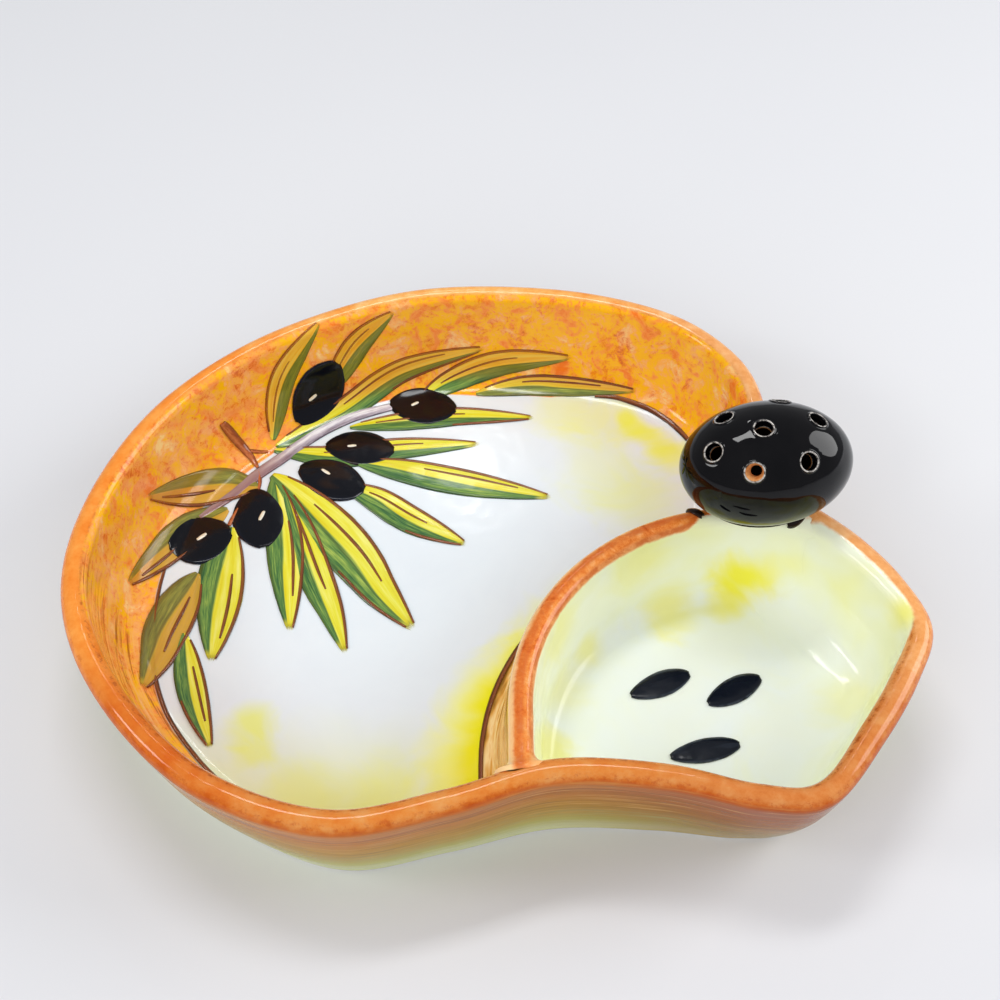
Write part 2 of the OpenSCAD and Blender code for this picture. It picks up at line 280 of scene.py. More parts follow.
# The wall between the bowls, and the olive, in mm
divider = {
    "height": 37.0, "crestWidth": 6.6, "baseWidth": 11.5, "coveRadius": 5.5, "lean": 10.0, "turnRadius": 62.0,
    "oliveOffset": 4.7, "turnShort": 4.9, "pastOlive": 12.6, "step": 1.2, "flare": 3.5, "sink": 0.6,
    "bite": 1.5,                  # how far the ends stand in the outer wall
    "slantReach": 9.0, "slantSink": 0.5, "slantFrom": 30, "slantOver": 20,
    "crowding": 0.08,             # points stand closer together at the ends
    "finer": 1.1, "endSpare": 14, "underRim": 0.35, "levelUnderRim": 0.5, "overFloor": 0.02,
}
olive = {
    "length": 47.4, "diameter": 34.2, "wall": 3.5, "height": 52.0, "inset": 8.4, "slide": 1.4, "turn": 7.0,
    "floor": 3.0, "bed": 0.8, "spacing": 0.95, "lipRadius": 3.7, "notchPoint": 4,
    "pressed": 0.28, "ringPoints": 36, "cutPoints": (110, 72), "innerLip": 2.95, "innerSpacing": 1.425,
    # holes as shares of the half length and half thickness, seen from above
    "holes": ((-0.14, -0.12), (0.53, 0.08), (-0.7, -0.24), (0.31, -0.64), (-0.31, -0.7), (-0.5, 0.34),
              (0.2, 0.62)),
    # a low raised lip, a rounded edge and the bore: radius, rise, glaze
    "lip": ((3.46, -0.05, 1.0), (3.28, -0.02, 1.0), (3.1, 0.1, 1.0), (2.96, 0.22, 0.96), (2.8, 0.3, 0.62),
            (2.64, 0.31, 0.5), (2.5, 0.22, 0.62), (2.38, 0.04, 0.9), (2.3, -0.2, 1.0), (2.25, -0.6, 1.0),
            (2.25, -1.2, 1.0), (2.25, -2.0, 1.0)),
    # the hole's edge inside: radius, rise, how much of the bare clay is left in it
    "innerEdge": ((2.25, 0.35, 1.0), (2.5, 0.1, 0.6)),
    "bareHole": 4, "bareGlaze": 0.1, "bareRadius": 2.45, "narrowing": 0.75, "narrowSide": 0.55,
}
notch = inward[olive["notchPoint"]]
olivePlace = (rimPoints[olive["notchPoint"]] + olive["inset"] * notch
              + olive["slide"] * np.array((-notch[1], notch[0])))
turnPlace = olivePlace - np.array((divider["turnShort"], divider["oliveOffset"] + divider["turnRadius"]))


def innerInset(z):
    # how far the bowl's inner surface stands in from the rim's outside, at a height
    bead, cove = dish["beadRadius"], dish["coveRadius"]
    if z >= beadUp - bead * math.sin(math.radians(dish["beadWrap"])):
        return bead + math.sqrt(max(0, bead ** 2 - (z - beadUp) ** 2))
    if z >= coveStart:
        return float(outerInset(z)) + dish["wall"]
    down = min(cove, dish["floorHeight"] + cove - z)
    return coveAcross - math.sqrt(max(0, cove ** 2 - down ** 2))


def clearance(points, z):
    # signed distance in mm from plan points to the bowl's inner surface at a height, positive in the bowl
    line = ringAt(innerInset(z), z)[:, :2]
    nextLine = np.roll(line, -1, axis=0)
    edge = nextLine - line
    away = points[:, None, :] - line[None]
    t = np.clip((away * edge).sum(2) / (edge ** 2).sum(1), 0, 1)
    gap = length(away - edge * t[..., None]).min(1)
    x, y = points[:, 0][:, None], points[:, 1][:, None]
    crosses = (line[:, 1] > y) != (nextLine[:, 1] > y)
    slope = np.where(edge[:, 1] == 0, 1e-9, edge[:, 1])
    left = x < edge[:, 0] * (y - line[:, 1]) / slope + line[:, 0]
    return np.where((crosses & left).sum(1) % 2 == 1, gap, -gap)


def dividerSection():
    # (sideways, height) of the section, from the foot on one side over the crest to the other
    d = divider
    crest = d["crestWidth"] / 2
    foot = arc(d["baseWidth"] / 2 + d["coveRadius"], dish["floorHeight"] + d["coveRadius"], d["coveRadius"],
               270, 180 + d["lean"], 10)
    top = arc(0, d["height"] - crest, crest, d["lean"] / 2, 90, 10)
    low, high = np.array(foot[-1]), np.array(top[0])
    half = foot + [tuple(low + (high - low) * k / 12) for k in range(1, 12)] + top
    return np.array(half + [(-across, z) for across, z in half[-2::-1]])


def dividerPath():
    # plan points along the middle of the crest, and the direction to its right-hand side
    d = divider
    radius, quarter = d["turnRadius"], math.pi / 2
    run = np.arange(-dishSpan[1] / 2, turnPlace[1], d["step"])
    tail = np.arange(0, d["turnShort"] + d["pastOlive"] + d["endSpare"], d["step"])
    count = int(radius * quarter / d["step"])
    turns = [math.pi - quarter * k / count for k in range(count)]
    out = np.array([(-1.0, 0.0)] * len(run) + [(math.cos(a), math.sin(a)) for a in turns]
                   + [(0.0, 1.0)] * len(tail))
    places = turnPlace + radius * out
    places[:len(run), 1] = run
    places[-len(tail):, 0] += tail
    return places, -out


def spreadRow(row, gap, count, bite):
    # the stretch of a row that stays out of the outer wall, but for a bite at each end
    start = int(np.argmax(gap > -divider["bite"]))
    end = len(gap) - 1 - int(np.argmax(gap[::-1] > -bite))
    first = start - (gap[start] + divider["bite"]) / (gap[start] - gap[start - 1]) if start else 0.0
    last = end + (gap[end] + bite) / (gap[end] - gap[end + 1]) if end < len(gap) - 1 else float(end)
    share = np.linspace(0, 1, count)
    where = first + (last - first) * (share - divider["crowding"] * np.sin(2 * math.pi * share))
    return np.stack([np.interp(where, np.arange(len(gap)), column) for column in row.T], axis=1)


def runAlong(plan, level, reach, sink):
    # bends a row that meets the outer wall at a slant, so that it runs out along the wall
    gap = clearance(plan, level)
    nudge = 0.05
    moves = np.array(((nudge, 0), (0, nudge)))
    slope = np.stack([clearance(plan + move, level) - gap for move in moves], axis=1)
    inwards = slope / np.maximum(1e-9, length(slope))[:, None]
    share = np.clip(0.5 + 0.5 * (gap + sink) / reach, 0, 1)
    wanted = -sink * (1 - share) + gap * share + reach * share * (1 - share)
    return plan + inwards * (wanted - gap)[:, None]


def makeDivider():
    d = divider
    section = dividerSection()
    slopes = np.gradient(section, axis=0)
    normals = unitRows(np.stack((slopes[:, 1], -slopes[:, 0]), axis=1))
    places, sides = dividerPath()
    count = int(len(places) * d["finer"])
    rings = []
    for (across, z), (out, up) in zip(section, normals):
        plan = places + sides * across
        level = min(z, dish["rimHeight"] - d["levelUnderRim"])
        toRight = min(1, max(0, across / 2))
        row = spreadRow(np.concatenate((plan, sides), axis=1), clearance(plan, level), count,
                        d["bite"] + d["slantReach"] * toRight)
        near = np.clip(d["flare"] - clearance(row[:, :2], level), 0, d["flare"])
        swell = d["flare"] - np.sqrt(np.maximum(0, d["flare"] ** 2 - near ** 2))
        slanting = toRight * np.clip((row[:, 0] - turnPlace[0] + d["slantFrom"]) / d["slantOver"], 0, 1)
        plan = row[:, :2] + row[:, 2:] * (out * swell * (1 - slanting))[:, None]
        plan += (runAlong(plan, level, d["slantReach"], d["slantSink"]) - plan) * slanting[:, None]
        up = np.minimum(z + up * swell * 0.5 * (1 - slanting), dish["rimHeight"] - d["underRim"])
        if z > dish["floorHeight"] + d["overFloor"] / 2:
            up = np.maximum(up, dish["floorHeight"] + d["overFloor"])
        rings.append(np.concatenate((plan, up[:, None]), axis=1))
    below = np.array((0, 0, d["sink"]))           # the feet are turned down below the floor on both sides
    rings = [rings[0] - below, *rings, rings[-1] - below]
    grid = np.arange(len(rings) * count).reshape(-1, count)
    faces = gridFaces([*grid, grid[0]], closed=False)
    # the ends, sunk in the outer wall
    for column, order in ((grid[:, 0].tolist(), 1), (grid[:, -1].tolist(), -1)):
        for r in range(len(column) // 2):
            corners = list(dict.fromkeys(column[k] for k in (r, r + 1, -2 - r, -1 - r)))
            if len(corners) > 2:
                faces.append(tuple(corners[::order]))
    piece = addPiece("painted_divider", np.concatenate(rings) * mm, faces)
    piece.data.set_sharp_from_angle(angle=math.radians(50))
    return piece


dividerPiece = makeDivider()
print("divider made:", len(dividerPiece.data.polygons), "faces")

halfOlive = np.array((olive["length"], olive["diameter"], olive["diameter"])) / 2
oliveCut = dish["rimHeight"] + olive["bed"] - olive["height"]     # of the flat underside, from the middle


def holeFrames(angles):
    # for each hole: its middle on the shell, its axis, the direction to one side, and a circle round the axis
    frames = []
    for x, y in olive["holes"]:
        direction = np.array((x, y, math.sqrt(1 - x * x - y * y)))
        axis = direction / halfOlive
        axis /= length(axis)
        side = np.cross((0, 1, 0), axis)
        side /= length(side)
        circle = np.cos(angles)[:, None] * side + np.sin(angles)[:, None] * np.cross(axis, side)
        frames.append((halfOlive * direction, axis, side, circle))
    return frames


def onShell(points, axis, half):
    # moves points along an axis onto the ellipsoid with the given half sizes
    p, d = points / half, axis / half
    a, b, c = d @ d, 2 * p @ d, (p * p).sum(1) - 1
    root = (-b + np.sqrt(np.maximum(0, b * b - 4 * a * c))) / (2 * a)
    return points + root[:, None] * axis


def shellMesh(half, cutZ, spacing, frames, radius, cutCount):
    # points spread over the ellipsoid above cutZ, with rings round the holes and a ring at the cut
    holes = [(place, axis, onShell(place + circle * radius, axis, half))
             for place, axis, side, circle in frames]
    count = int(4 * math.pi * half[1] * half[0] / spacing ** 2)
    k = np.arange(count) + 0.5
    z = 1 - 2 * k / count
    turn = math.pi * (1 + 5 ** 0.5) * k
    spread = np.stack((np.sqrt(1 - z * z) * np.cos(turn), np.sqrt(1 - z * z) * np.sin(turn), z), axis=1) * half
    spread = spread[spread[:, 2] > cutZ + spacing * 0.45]
    for place, axis, ring in holes:
        away = spread - place
        off = away - (away @ axis)[:, None] * axis
        near = (length(off) < length(ring[0] - place) + spacing * 0.5) & (away @ axis > -half[1])
        spread = spread[~near]
    angles = np.linspace(0, 2 * math.pi, cutCount, endpoint=False)
    cutShare = math.sqrt(1 - (cutZ / half[2]) ** 2)
    cut = np.stack((half[0] * cutShare * np.cos(angles), half[1] * cutShare * np.sin(angles),
                    np.full(cutCount, cutZ)), axis=1)
    parts = [spread, cut] + [ring for _, _, ring in holes]
    starts = np.cumsum([0] + [len(part) for part in parts])
    rings = [np.arange(start, end) for start, end in zip(starts[1:-1], starts[2:])]
    points = np.concatenate(parts)
    # seen from below its lowest point the shell is flat, and circles stay circles
    flat = (points / half)[:, :2] / (1 + (points / half)[:, 2:])
    edges = [pair for ring in rings for pair in zip(ring.tolist(), np.roll(ring, -1).tolist())]
    result = delaunay_2d_cdt([Vector(p) for p in flat], edges, [], 0, 1e-9)
    origin = {new: old[0] for new, old in enumerate(result[3]) if len(old)}
    reach = length(flat[rings[0]]).max()
    faces = []
    for face in result[2]:
        ids = [origin[i] for i in face]
        owners = set(np.searchsorted(starts, ids, side="right").tolist())
        oneRing = len(owners) == 1 and min(owners) > 1             # it lies in its own hole or past the cut
        if length(flat[ids].mean(0)) <= reach and not oneRing:
            faces.append(tuple(ids))
    return points, faces, rings


def makeOlive():
    o = olive
    around, bareGlaze = o["ringPoints"], o["bareGlaze"]
    inner = halfOlive - o["wall"]
    frames = holeFrames(np.linspace(0, 2 * math.pi, around, endpoint=False))
    points, faces, outRings = shellMesh(
        halfOlive, oliveCut, o["spacing"], frames, o["lipRadius"], o["cutPoints"][0])
    inPoints, inFaces, inRings = shellMesh(
        inner, oliveCut + o["floor"], o["innerSpacing"], frames, o["innerLip"], o["cutPoints"][1])
    shift = len(points)
    points = [*points, *inPoints]
    # 1 black glaze, 0 bare clay, -1 in the hollow
    glaze = [1.0] * shift + [-1.0] * len(inPoints)
    faces += [tuple(shift + i for i in face[::-1]) for face in inFaces]
    for index, (place, axis, side, circle) in enumerate(frames):
        bare = index == o["bareHole"]             # clay left in it narrows it to one side
        profile = [(radius, rise, bareGlaze if bare and radius < o["bareRadius"] else cover, halfOlive,
                    max(0, -rise - 0.2) / 1.8) for radius, rise, cover in o["lip"]]
        profile += [(radius, rise, bareGlaze if bare else -1.0, inner, left)
                    for radius, rise, left in o["innerEdge"]]
        rows = [outRings[1 + index]]
        for radius, rise, cover, half, left in profile:
            left *= bare
            ring = place + circle * (radius - o["narrowing"] * left) + side * o["narrowSide"] * left
            rows.append(len(points) + np.arange(around))
            points += [*(onShell(ring, axis, half) + axis * rise)]
            glaze += [cover] * around
        faces += gridFaces([*rows, shift + inRings[1 + index]])
    # flat underside and the floor inside
    for ring, z, flip, cover in ((outRings[0], oliveCut, False, 0.4),
                                 (shift + inRings[0], oliveCut + o["floor"], True, -1.0)):
        faces += fan(len(points), ring, flip)
        points.append((0, 0, z))
        glaze.append(cover)
    turn = math.radians(o["turn"])
    spin = np.array(((math.cos(turn), -math.sin(turn), 0), (math.sin(turn), math.cos(turn), 0), (0, 0, 1)))
    points = np.array(points)
    points[:, 2] *= np.where(points[:, 2] > 0, 1 - o["pressed"] / halfOlive[2], 1)
    placed = (points @ spin.T + np.array((*olivePlace, o["height"]))) * mm
    piece = addPiece("black_olive", placed, faces, facts={"glaze": glaze})
    piece.data.set_sharp_from_angle(angle=math.radians(60))
    return piece


olivePiece = makeOlive()
print("olive made:", len(olivePiece.data.polygons), "faces")


def operator(operation, reflected=False):
    # what a Python operator on a wire does
    def method(self, other):
        terms = (other, self) if reflected else (self, other)
        return self.add("ShaderNodeMath", {"operation": operation}, dict(enumerate(terms)))
    return method


class Wire:
    # one output of a node tree; sums written on it add the nodes that work them out
    def __init__(self, tree, socket=None):
        self.tree = tree
        self.socket = socket

    __add__, __radd__ = operator("ADD"), operator("ADD", True)
    __sub__, __rsub__ = operator("SUBTRACT"), operator("SUBTRACT", True)
    __mul__, __rmul__ = operator("MULTIPLY"), operator("MULTIPLY", True)
    __pow__, __rpow__ = operator("POWER"), operator("POWER", True)

    def add(self, kind, settings=None, values=None, out=0):
        node = self.tree.nodes.new(kind)
        for key, value in (settings or {}).items():
            if key == "stops":
                ramp = node.color_ramp
                while len(ramp.elements) < len(value):
                    ramp.elements.new(0.5)
                for element, (place, colour) in zip(ramp.elements, value):
                    element.position, element.color = place, colour
            else:
                setattr(node, key, value)
        for key, value in (values or {}).items():
            if isinstance(value, Wire):
                self.tree.links.new(value.socket, node.inputs[key])
            else:
                node.inputs[key].default_value = value
        return Wire(self.tree, node.outputs[out]) if node.outputs else None

    def other(self, name):
        return Wire(self.tree, self.socket.node.outputs[name])

    def math(self, operation, *others):
        return self.add("ShaderNodeMath", {"operation": operation}, dict(enumerate((self, *others))))

    def vector(self, operation, other, out=0):
        return self.add("ShaderNodeVectorMath", {"operation": operation},
                        {0: self, "Scale" if operation == "SCALE" else 1: other}, out)

    def rises(self, low, high):
        # 0 below low, 1 above high, smooth between; the other way round when low is the larger
        return self.add("ShaderNodeMapRange", {"interpolation_type": "SMOOTHSTEP"},
                        {"Value": self, "From Min": low, "From Max": high})

    def near(self, place, reach):
        # 1 at a place, falling to 0 at a reach from it
        return (self - place).math("ABSOLUTE").rises(reach, reach * 0.25)

    def sway(self, width):
        # a pattern from 0 to 1 as a shift to both sides
        return (self - 0.5) * width

    def ramp(self, *stops):
        # colours along this value: a place and a colour for each stop
        pairs = [(place, tone(colour)) for place, colour in zip(stops[::2], stops[1::2])]
        return self.add("ShaderNodeValToRGB", {"stops": pairs}, {"Fac": self})

    def mix(self, other, share, blend="MIX"):
        # this colour changed to another one by a share
        return self.add("ShaderNodeMix", {"data_type": "RGBA", "blend_type": blend},
                        {"Factor": share, 6: self, 7: tone(other)}, 2)

    def coats(self, *coats):
        # this colour under coats of others, each a colour and its share
        result = self
        for coat in coats:
            result = result.mix(*coat)
        return result


def tone(colour):
    # a colour in hex digits, as a picture gives it, as Blender wants it; the colour of a wire stays
    if isinstance(colour, Wire):
        return colour
    parts = [int(colour[k:k + 2], 16) / 255 for k in (0, 2, 4)]
    return (*(v / 12.92 if v <= 0.04045 else ((v + 0.055) / 1.055) ** 2.4 for v in parts), 1.0)


class Finish:
    # a material with the places and patterns that its maker uses, in mm
    def __init__(self, name):
        self.material = bpy.data.materials.new(name)
        self.material.use_nodes = True
        tree = self.material.node_tree
        tree.nodes.clear()
        self.start = Wire(tree)
        self.place = self.start.add("ShaderNodeTexCoord", out=3).vector("SCALE", 1000.0)
        split = self.start.add("ShaderNodeSeparateXYZ", None, {0: self.place})
        self.x, self.y, self.z = (split.other(name) for name in "XYZ")

    def attribute(self, name):
        return self.start.add("ShaderNodeAttribute", {"attribute_name": name}, out=2)

    def noise(self, size, detail, rough, warp=0.0, shift=0.0, place=None):
        # cloudy pattern from 0 to 1, with clouds of a size in mm
        where = place or self.place
        if shift:
            where = where.vector("ADD", (shift, shift * 0.7, -shift))
        return self.start.add("ShaderNodeTexNoise", None, {
            "Vector": where, "Scale": 1.0 / size, "Detail": detail, "Roughness": rough, "Distortion": warp})

    def at(self, *values):
        return self.start.add("ShaderNodeCombineXYZ", None, dict(enumerate(values)))

    def drawn(self, size, detail, rough, sides, up):
        # a pattern drawn out round the dish
        return self.noise(size, detail, rough, place=self.place.vector("MULTIPLY", (sides, sides, up)))

    def finish(self, colour, rough, waves=None, depth=0.0002, alpha=1.0, gloss=0.5):
        # waves: the unevenness of the glaze, as a pattern or as the size of its waves in mm; their depth in m
        values = {"Base Color": colour, "Roughness": rough, "Alpha": alpha, "Specular IOR Level": gloss}
        if waves is not None:
            height = waves if isinstance(waves, Wire) else self.noise(waves, 2, 0.5)
            values["Normal"] = self.start.add("ShaderNodeBump", None, {"Distance": depth, "Height": height})
        shader = self.start.add("ShaderNodeBsdfPrincipled", None, values)
        self.start.add("ShaderNodeOutputMaterial", None, {"Surface": shader})
        return self.material


# The tray and the divider in one mesh, only for laying the paint on
glazedPoints, glazedFaces = [], []
for piece in (tray, dividerPiece):
    shift = len(glazedPoints)
    glazedPoints += [tuple(v.co) for v in piece.data.vertices]
    glazedFaces += [tuple(shift + i for i in p.vertices) for p in piece.data.polygons]
glazed = addPiece("carrier", glazedPoints, glazedFaces)
glazedTree = BVHTree.FromPolygons(glazedPoints, glazedFaces)


def onDish(pixel):
    # place in mm on the tray or the divider that the camera sees at a pixel of the picture
    far = Vector(fromPicture(pixel, -50))         # below the table, so that the ray meets the dish on its way
    hit = glazedTree.ray_cast(camera.location, far * mm - camera.location)
    return tuple(hit[0] / mm)


def blots(f, colour, rows, uneven):
    # coats of a colour, each full at a place and falling to 0 at a reach, with an edge made uneven by a pattern
    coats = []
    for pixel, reach, strength in rows:
        gap = f.place.vector("DISTANCE", onDish(pixel), 1)
        coats.append((colour, (gap + uneven.sway(reach * 1.3)).rises(reach, reach * 0.15) * strength))
    return coats


def bowlSide(f):
    # mm past the divider's middle line, above 0 in the large bowl
    across = (f.x - float(turnPlace[0])).math("MINIMUM", 0.0)
    back = (f.y - float(turnPlace[1])).math("MAXIMUM", 0.0)
    return (across * across + back * back).math("SQRT") - divider["turnRadius"]


# Where yellow was wiped on the glaze of the two bowls: a pixel, the reach in mm, how strong
lemon = {
    "wash": {"size": 20, "detail": 3, "rough": 0.55, "warp": 1.0, "shift": 55},
    "large": (((250, 725), 9, 0.75), ((256, 752), 8, 0.6), ((625, 419), 5, 0.85), ((635, 427), 6, 0.8),
              ((646, 436), 7, 0.8), ((658, 445), 8, 0.8), ((671, 455), 9, 0.75), ((560, 412), 15, 0.4),
              ((600, 418), 15, 0.5), ((600, 470), 22, 0.3), ((640, 500), 20, 0.4), ((385, 794), 16, 0.5),
              ((300, 790), 14, 0.4)),
    "small": (((742, 578), 13, 1.0), ((728, 604), 9, 0.7), ((668, 612), 12, 0.6), ((905, 612), 11, 0.7),
              ((848, 700), 14, 0.35), ((588, 648), 8, 0.5), ((548, 748), 10, 0.6), ((556, 640), 16, 0.45),
              ((560, 690), 12, 0.35), ((640, 560), 14, 0.4), ((880, 690), 10, 0.3)),
}


def lemonGlaze(f):
    # the small bowl's glaze, alike on the tray and the divider: white low down, lemon washed up the walls
    clouds, wash = f.noise(24, 2, 0.5, warp=0.3, shift=9), f.noise(**lemon["wash"])
    low = clouds.ramp(0.3, "eef6fa", 0.6, "f1f7f0")
    high = clouds.ramp(0.34, "f4f6b8", 0.46, "f3f7ce", 0.6, "f3f8e0")
    return low.mix(high, (f.z + wash.sway(16)).rises(4, 20)).coats(
        *blots(f, "f6f046", lemon["small"], wash))


def sponged(f):
    # the orange sponge work of the walls: amber and peach clouds, with terracotta grit in drifts
    clouds = f.noise(10, 5, 0.68, warp=0.6).sway(1.8) + 0.5
    grit = f.noise(2.6, 9, 0.84, warp=0.6, shift=31)
    drifts = f.noise(11, 4, 0.65, warp=0.8, shift=77)
    sweeps = f.noise(1.0, 4, 0.7, place=f.at(f.attribute("around") * 0.03, f.attribute("band") * 22))
    dragged = f.x.rises(-62, -74) * f.y.rises(-6, -24)
    return (clouds + grit.sway(0.8)).ramp(
        0.2, "f67c22", 0.34, "fd9c42", 0.46, "ffbe04", 0.55, "ffbc18",
        0.63, "ffae58", 0.78, "ffd48c").coats(
        ("faaa60", f.x.rises(10, -80) * drifts.rises(0.4, 0.56) * 0.6),
        ("ee6a1a", (grit + drifts.sway(0.5)).rises(0.5, 0.62) * 0.7),
        ("c85010", (grit + drifts.sway(0.6)).rises(0.6, 0.72) * 0.65),
        ("fcbe6e", dragged * sweeps.rises(0.5, 0.38) * 0.7),
        ("a45416", dragged * sweeps.rises(0.52, 0.62) * 0.8))


def trayGlaze():
    f = Finish("tray_glaze")
    band, side = f.attribute("band"), bowlSide(f)
    large = side.rises(-1.0, 1.0)
    fine, wash = f.noise(5, 6, 0.7, shift=12), f.noise(**lemon["wash"])
    # the large floor, with yellow washed up against the walls
    spread = f.y.rises(-10, -60) * 10
    floor = f.noise(26, 4, 0.6, warp=0.8).ramp(0.3, "e8f2f8", 0.7, "e4eef5").coats(
        ("f0fcbe", (f.y + wash.sway(14)).rises(-40, -76) * 0.9),
        ("f6fa78", (side - spread + wash.sway(15)).rises(21, 7) * f.y.rises(26, -20) * 0.9),
        ("f2f008", (side - spread * 0.6 + wash.sway(12)).rises(14, 6) * f.y.rises(2, -34)),
        *blots(f, "eef660", lemon["large"], wash),
        ("eaf6b0", (wash * 1.2 - 0.1) * side.rises(16, 5) * f.y.rises(4, 16) * 0.9))
    floorLine = (band - f.attribute("edge") + fine.sway(0.02)).rises(0.012, -0.012)
    inside = lemonGlaze(f).mix(floor.mix(sponged(f), floorLine), large)
    # the rolled rim
    streak, specks = f.noise(6, 5, 0.7, shift=3), f.noise(2.2, 6, 0.8, shift=21)
    bead = streak.ramp(0.3, "f2963c", 0.5, "fab260", 0.7, "fdcc8c").coats(
        (streak.ramp(0.3, "ec7a1c", 0.7, "f89e3e"), f.x.rises(-40, -85) * 0.9),
        # painted shade: towards the right-hand side the rim is painted in duller, darker peach tones, as it lay
        # in shade there
        (streak.ramp(0.3, "da8a48", 0.5, "eca468", 0.7, "f6be86"), f.x.rises(16, 66) * 0.7),
        (streak.ramp(0.35, "d66a02", 0.65, "ea840a"), (band + streak.sway(0.25)).rises(1.36, 1.18)),
        ("b0541a", band.near(1.66, 0.07) * specks.rises(0.46, 0.6) * 0.75),
        ("c65818", band.near(1.3, 0.1) * specks.rises(0.5, 0.62) * 0.5),
        # painted shade: the front of the rim is painted darker, as it lay in shade
        ("dab07e", f.y.rises(-38, -66) * 0.8, "MULTIPLY"))
    # outside: brush lines run round the wall
    runs = f.drawn(1.0, 4, 0.7, 0.03, 1.6)
    outside = (band + runs.sway(0.22)).ramp(
        0.1, "d4d8a0", 0.28, "b8b042", 0.44, "b28e1a",
        0.66, "b8841a", 0.86, "be7410", 1.0, "c4700a").coats(
        # painted shade: the front right of the outside wall is multiplied darker and browner, as it lay in
        # shadow
        ("cea66e", f.x.rises(0, 70) * f.y.rises(-40, -70), "MULTIPLY"),
        ("78580c", runs.rises(0.5, 0.66) * band.rises(0.25, 0.6) * 0.6),
        ("deb060", runs.rises(0.47, 0.34) * band.rises(0.25, 0.5) * 0.5),
        ("b0b060", (runs + band * 0.2).rises(0.6, 0.66) * band.rises(0.6, 0.4) * 0.5),
        # painted shadow: a broken dark brown line just under the bead, where the bead's overhang casts shade
        ("8c4808", band.near(0.985, 0.05) * runs.rises(0.4, 0.55) * 0.6))
    # the inside glaze runs a little over the rim; the foot ring's face is bare
    over = (1 - large) * f.y.rises(-52, -30) * f.x.rises(80, 92) * 0.42 + large * f.y.rises(-60, -20) * 0.36
    raw = band.rises(-0.22, -0.3) * band.rises(-1.2, -0.95)
    colour = outside.coats(
        (bead, (band + runs.sway(0.16)).rises(1.08, 1.28)),
        (inside, (band + over + streak.sway(0.08)).rises(1.95, 2.03)),
        ("e2dece", band.rises(0.0, -0.1)),
        (fine.ramp(0.3, "be7a48", 0.7, "cd8c5a"), raw))
    rough = 0.09 + fine * 0.05 + raw * 0.6 + band.rises(0.98, 0.9) * 0.1
    waves = f.noise(14, 2, 0.5) * 0.7 + f.drawn(0.5, 2, 0.5, 0.05, 1.0) * band.rises(1, 0.9) * 0.3
    return f.finish(colour, rough, waves, 0.00035, gloss=0.32)


def dividerGlaze():
    f = Finish("divider_glaze")
    side, foot = bowlSide(f), divider["baseWidth"] / 2
    mottle, soft = f.noise(5, 7, 0.75, warp=0.5), f.noise(14, 3, 0.5, shift=40)
    grit = f.noise(1.6, 6, 0.8, shift=8)
    offMiddle = side + mottle.sway(1.4)
    crest = (mottle * 0.5 + soft * 0.2 + grit * 0.3).ramp(
        0.4, "c45416", 0.47, "e2762c", 0.54, "f09648", 0.62, "f8b876").coats(
        ("fed89c", offMiddle.rises(1.3, 2.7) * 0.9),
        ("fabe7c", offMiddle.rises(-1.7, -2.9) * 0.6))
    wall = f.drawn(1.0, 3, 0.6, 0.045, 0.42).ramp(
        0.38, "96681c", 0.45, "e2a84a", 0.54, "fee2a0", 0.63, "d69036").mix(
        "f2ee14", (side + mottle.sway(0.6)).rises(foot + 4.6, foot + 5.0))
    tail = f.x.rises(float(olivePlace[0]) - 22, float(olivePlace[0]) - 14)
    above = f.z - (32.6 + side.rises(0.6, -0.6) * (2.2 + tail * 3.0) + mottle.sway(1.4))
    colour = lemonGlaze(f).coats(
        (wall, side.rises(-1, 1)),
        (crest, above.rises(-0.5, 0.5)),
        ("c45418", above.near(0.8, 1.0) * mottle.rises(0.35, 0.6) * 0.75),
        ("cc5c1e", side.near(0.4, 1.6) * f.z.rises(35, 36.5) * mottle.rises(0.4, 0.55) * 0.7))
    return f.finish(colour, 0.1 + mottle * 0.05, 12, 0.0003, gloss=0.32)


def oliveGlaze():
    f = Finish("olive_glaze")
    cover = f.attribute("glaze")
    clay = f.noise(2, 5, 0.7).ramp(0.35, "c47638", 0.65, "ecb070")
    # pale rings on the lips of the holes: partly the black glaze running thin over their edges, partly painted
    # highlight where the rounded lips catch the lamps
    thin = f.noise(1.3, 3, 0.6).ramp(0.36, "463e3a", 0.5, "c4beb8", 0.7, "e2dcd2")
    rings = cover.near(0.52, 0.34) * f.noise(1.6, 3, 0.6, shift=4).rises(0.3, 0.5)
    colour = f.noise(9, 3, 0.5).ramp(0.35, "030306", 0.7, "0a090c").coats(
        (thin, rings * 0.85),
        (clay, cover.rises(0.25, 0.12)),
        # painted shade: the hollow inside and the inner edges of the holes are painted dark brown, as they lie
        # in shade
        ("22130a", cover.rises(-0.2, -0.7)),
        ("40200c", f.z.rises(43.5, 40.0) * f.noise(4, 3, 0.6).rises(0.35, 0.6) * 0.6))
    return f.finish(colour, 0.7 - cover.rises(0.1, 0.3) * 0.665, 11, 0.00025, gloss=0.28)


def jointGlaze():
    f = Finish("joint_glaze")
    runs = f.noise(3, 4, 0.6)
    colour = runs.ramp(0.35, "0e0a08", 0.65, "341c0e")
    return f.finish(colour, 0.06 + runs * 0.04, 5, 0.0003)


for piece, node, slot, material in ((tray, "dish_body", "dish_glaze", trayGlaze()),
                                    (dividerPiece, "divider_wall", "divider_glaze", dividerGlaze()),
                                    (olivePiece, "pick_holder", "olive_glaze", oliveGlaze())):
    piece.data.materials.append(material)
    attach(piece, "root")
    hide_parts(node)
jointPiece = bpy.data.objects["holder_joint"]
jointPiece.data.materials.clear()
jointPiece.data.materials.append(jointGlaze())
print("glazes mixed")


